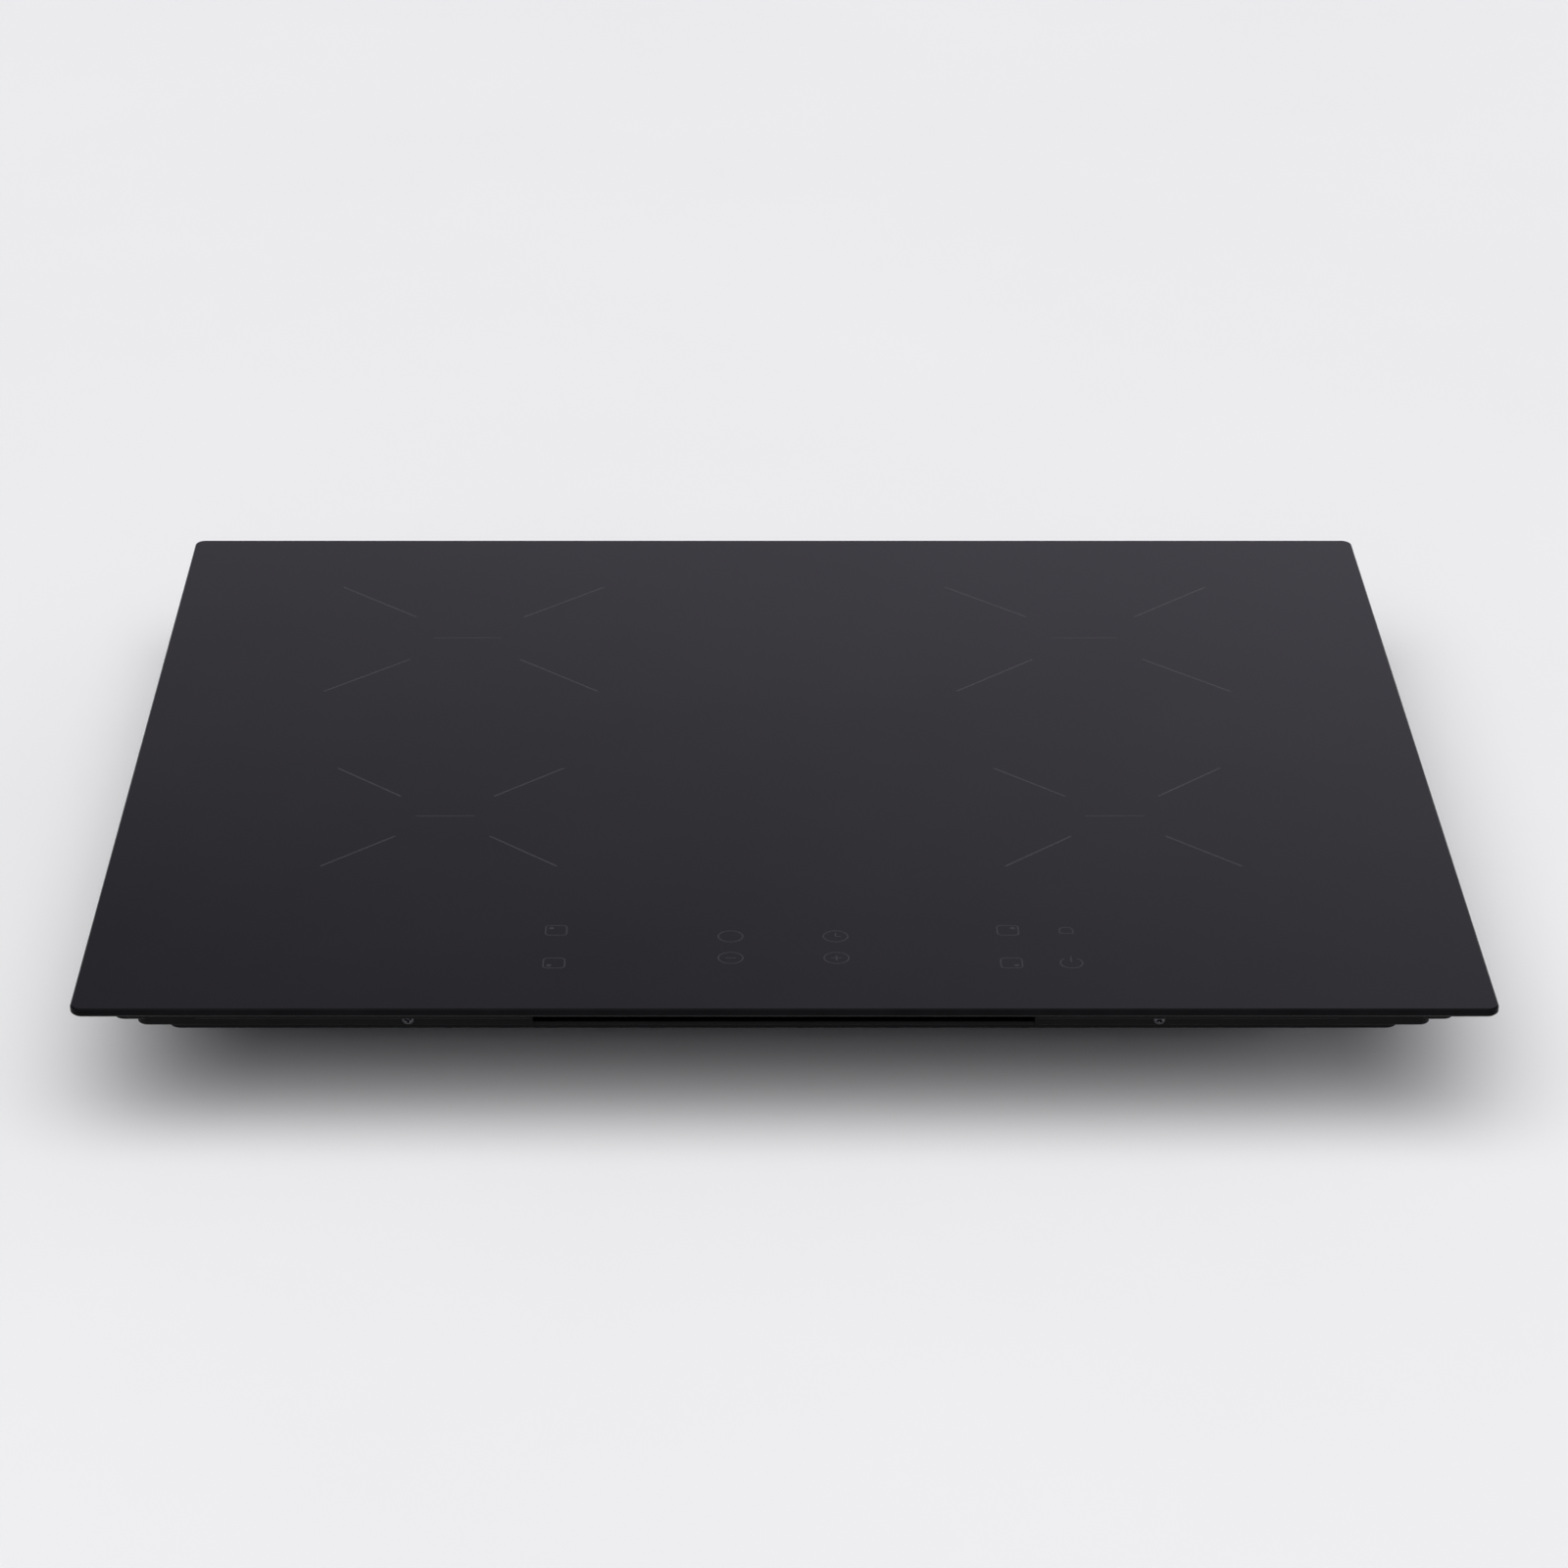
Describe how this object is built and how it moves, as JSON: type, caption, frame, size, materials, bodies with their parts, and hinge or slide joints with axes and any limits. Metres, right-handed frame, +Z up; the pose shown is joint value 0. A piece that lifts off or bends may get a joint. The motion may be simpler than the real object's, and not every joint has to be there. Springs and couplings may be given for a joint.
{
  "type": "built-in induction hob",
  "caption": "Built-in induction hob: black glass plate with cross marks at the zones and touch keys at the front, over a stepped casing with coils, boards and fans.",
  "frame": {"origin": "centre of the bounding box in X and Y, at the underside of the bottom pan", "axes": "+X to the cook's right along the glass's long side, +Y to the back, +Z up out of the glass"},
  "size_m": [0.59, 0.52, 0.056],
  "materials": {
    "black_glass": "smooth black glass-ceramic with a fine ground edge, opaque, with thin grey printed marks",
    "seal_foam": "closed-cell foam tape, matt black",
    "black_enamel": "fine-textured black powder coat on pressed steel",
    "plate_aluminium": "rolled sheet, satin",
    "sink_aluminium": "extruded, fine lines along the fins",
    "copper_litz": "lacquered copper litz wire, wound flat",
    "black_plastic": "fine-grained moulded plastic",
    "ferrite": "matt sintered ferrite",
    "mica": "pressed mica sheet, flecked",
    "white_plastic": "natural nylon",
    "green_laminate": "solder-masked glass-epoxy laminate",
    "choke_winding": "enamelled copper wire on a ring core",
    "red_display": "dark red filter window",
    "zinc_steel": "bright zinc plate"
  },
  "bodies": {
    "root": {"board_tray_left": "black_plastic", "board_tray_right": "black_plastic", "bottom_pan": "black_enamel", "cable_clamp": "white_plastic", "casing_screw_back_left": "zinc_steel", "casing_screw_back_right": "zinc_steel", "casing_screw_front_left": "zinc_steel", "casing_screw_front_right": "zinc_steel", "clamp_screw_back_left": "zinc_steel", "clamp_screw_back_right": "zinc_steel", "clamp_screw_front_left": "zinc_steel", "clamp_screw_front_right": "zinc_steel", "coil_former_back_left": "black_plastic", "coil_former_back_right": "black_plastic", "coil_former_front_left": "black_plastic", "coil_former_front_right": "black_plastic", "coil_plate_left": "plate_aluminium", "coil_plate_right": "plate_aluminium", "display_module": "red_display", "fan_frame_left": "black_plastic", "fan_frame_right": "black_plastic", "ferrite_star_back_left": "ferrite", "ferrite_star_back_right": "ferrite", "ferrite_star_front_left": "ferrite", "ferrite_star_front_right": "ferrite", "filter_board": "green_laminate", "filter_choke": "choke_winding", "glass_top": "black_glass", "heat_sink_left": "sink_aluminium", "heat_sink_right": "sink_aluminium", "mica_disc_back_left": "mica", "mica_disc_back_right": "mica", "mica_disc_front_left": "mica", "mica_disc_front_right": "mica", "mounting_frame": "black_enamel", "pan_screw_left": "zinc_steel", "pan_screw_right": "zinc_steel", "power_board_left": "green_laminate", "power_board_right": "green_laminate", "terminal_block": "white_plastic", "terminal_housing": "black_plastic", "touch_board": "green_laminate", "touch_tray": "black_plastic", "upper_casing": "black_enamel", "winding_back_left": "copper_litz", "winding_back_right": "copper_litz", "winding_front_left": "copper_litz", "winding_front_right": "copper_litz", "worktop_seal": "seal_foam", "zone_sensor_back_left": "white_plastic", "zone_sensor_back_right": "white_plastic", "zone_sensor_front_left": "white_plastic", "zone_sensor_front_right": "white_plastic"},
    "fan_rotor_left": {"fan_rotor_left": "black_plastic"},
    "fan_rotor_right": {"fan_rotor_right": "black_plastic"},
    "mounting_clamp_back_left": {"mounting_clamp_back_left": "zinc_steel"},
    "mounting_clamp_back_right": {"mounting_clamp_back_right": "zinc_steel"},
    "mounting_clamp_front_left": {"mounting_clamp_front_left": "zinc_steel"},
    "mounting_clamp_front_right": {"mounting_clamp_front_right": "zinc_steel"},
    "terminal_cover": {"terminal_cover": "black_plastic"}
  },
  "joints": [
    {"name": "fan_left_spin", "type": "hinge", "parent": "root", "child": "fan_rotor_left", "pos_m": [-0.165, 0.122, 0.015], "axis": [0, 0, 1], "continuous": true},
    {"name": "fan_right_spin", "type": "hinge", "parent": "root", "child": "fan_rotor_right", "pos_m": [0.165, 0.122, 0.015], "axis": [0, 0, 1], "continuous": true},
    {"name": "clamp_front_left_swivel", "type": "hinge", "parent": "root", "child": "mounting_clamp_front_left", "pos_m": [-0.2495, -0.11, 0.027], "axis": [0, 0, 1], "range_deg": [0, 90]},
    {"name": "clamp_front_right_swivel", "type": "hinge", "parent": "root", "child": "mounting_clamp_front_right", "pos_m": [0.2495, -0.11, 0.027], "axis": [0, 0, -1], "range_deg": [0, 90]},
    {"name": "clamp_back_left_swivel", "type": "hinge", "parent": "root", "child": "mounting_clamp_back_left", "pos_m": [-0.2495, 0.11, 0.027], "axis": [0, 0, -1], "range_deg": [0, 90]},
    {"name": "clamp_back_right_swivel", "type": "hinge", "parent": "root", "child": "mounting_clamp_back_right", "pos_m": [0.2495, 0.11, 0.027], "axis": [0, 0, 1], "range_deg": [0, 90]},
    {"name": "terminal_cover_hinge", "type": "hinge", "parent": "root", "child": "terminal_cover", "pos_m": [0.105, 0.2242, 0.0242], "axis": [1, 0, 0], "range_deg": [0, 100]}
  ]
}
